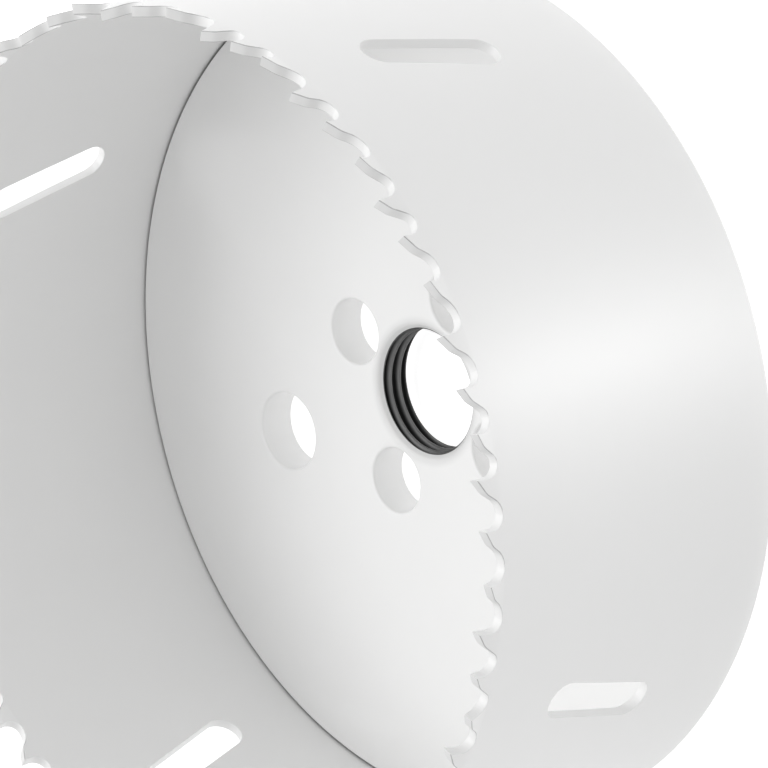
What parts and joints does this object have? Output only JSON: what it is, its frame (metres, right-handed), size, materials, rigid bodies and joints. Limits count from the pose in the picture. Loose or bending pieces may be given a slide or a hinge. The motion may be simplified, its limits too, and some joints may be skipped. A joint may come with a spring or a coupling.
{
  "type": "hole saw",
  "caption": "Cup-shaped hole saw with a toothed, slotted thin wall and a thick back plate with a threaded arbor bore, drive-pin holes and ejection holes.",
  "frame": {"origin": "centre of the back face of the backing plate, on the axis of the saw", "axes": "+Z along the axis from the back face towards the teeth, +X and +Y through two neighbouring drive-pin holes"},
  "size_m": [0.1018, 0.1018, 0.044],
  "materials": {
    "wall_coating": "smooth semi-matt white coating over steel",
    "plate_coating": "smooth semi-matt white coating over steel",
    "bare_thread": "dark bare steel in the tapped bore"
  },
  "bodies": {
    "root": {"toothed_wall": "wall_coating", "backing_plate": "plate_coating"}
  },
  "joints": []
}
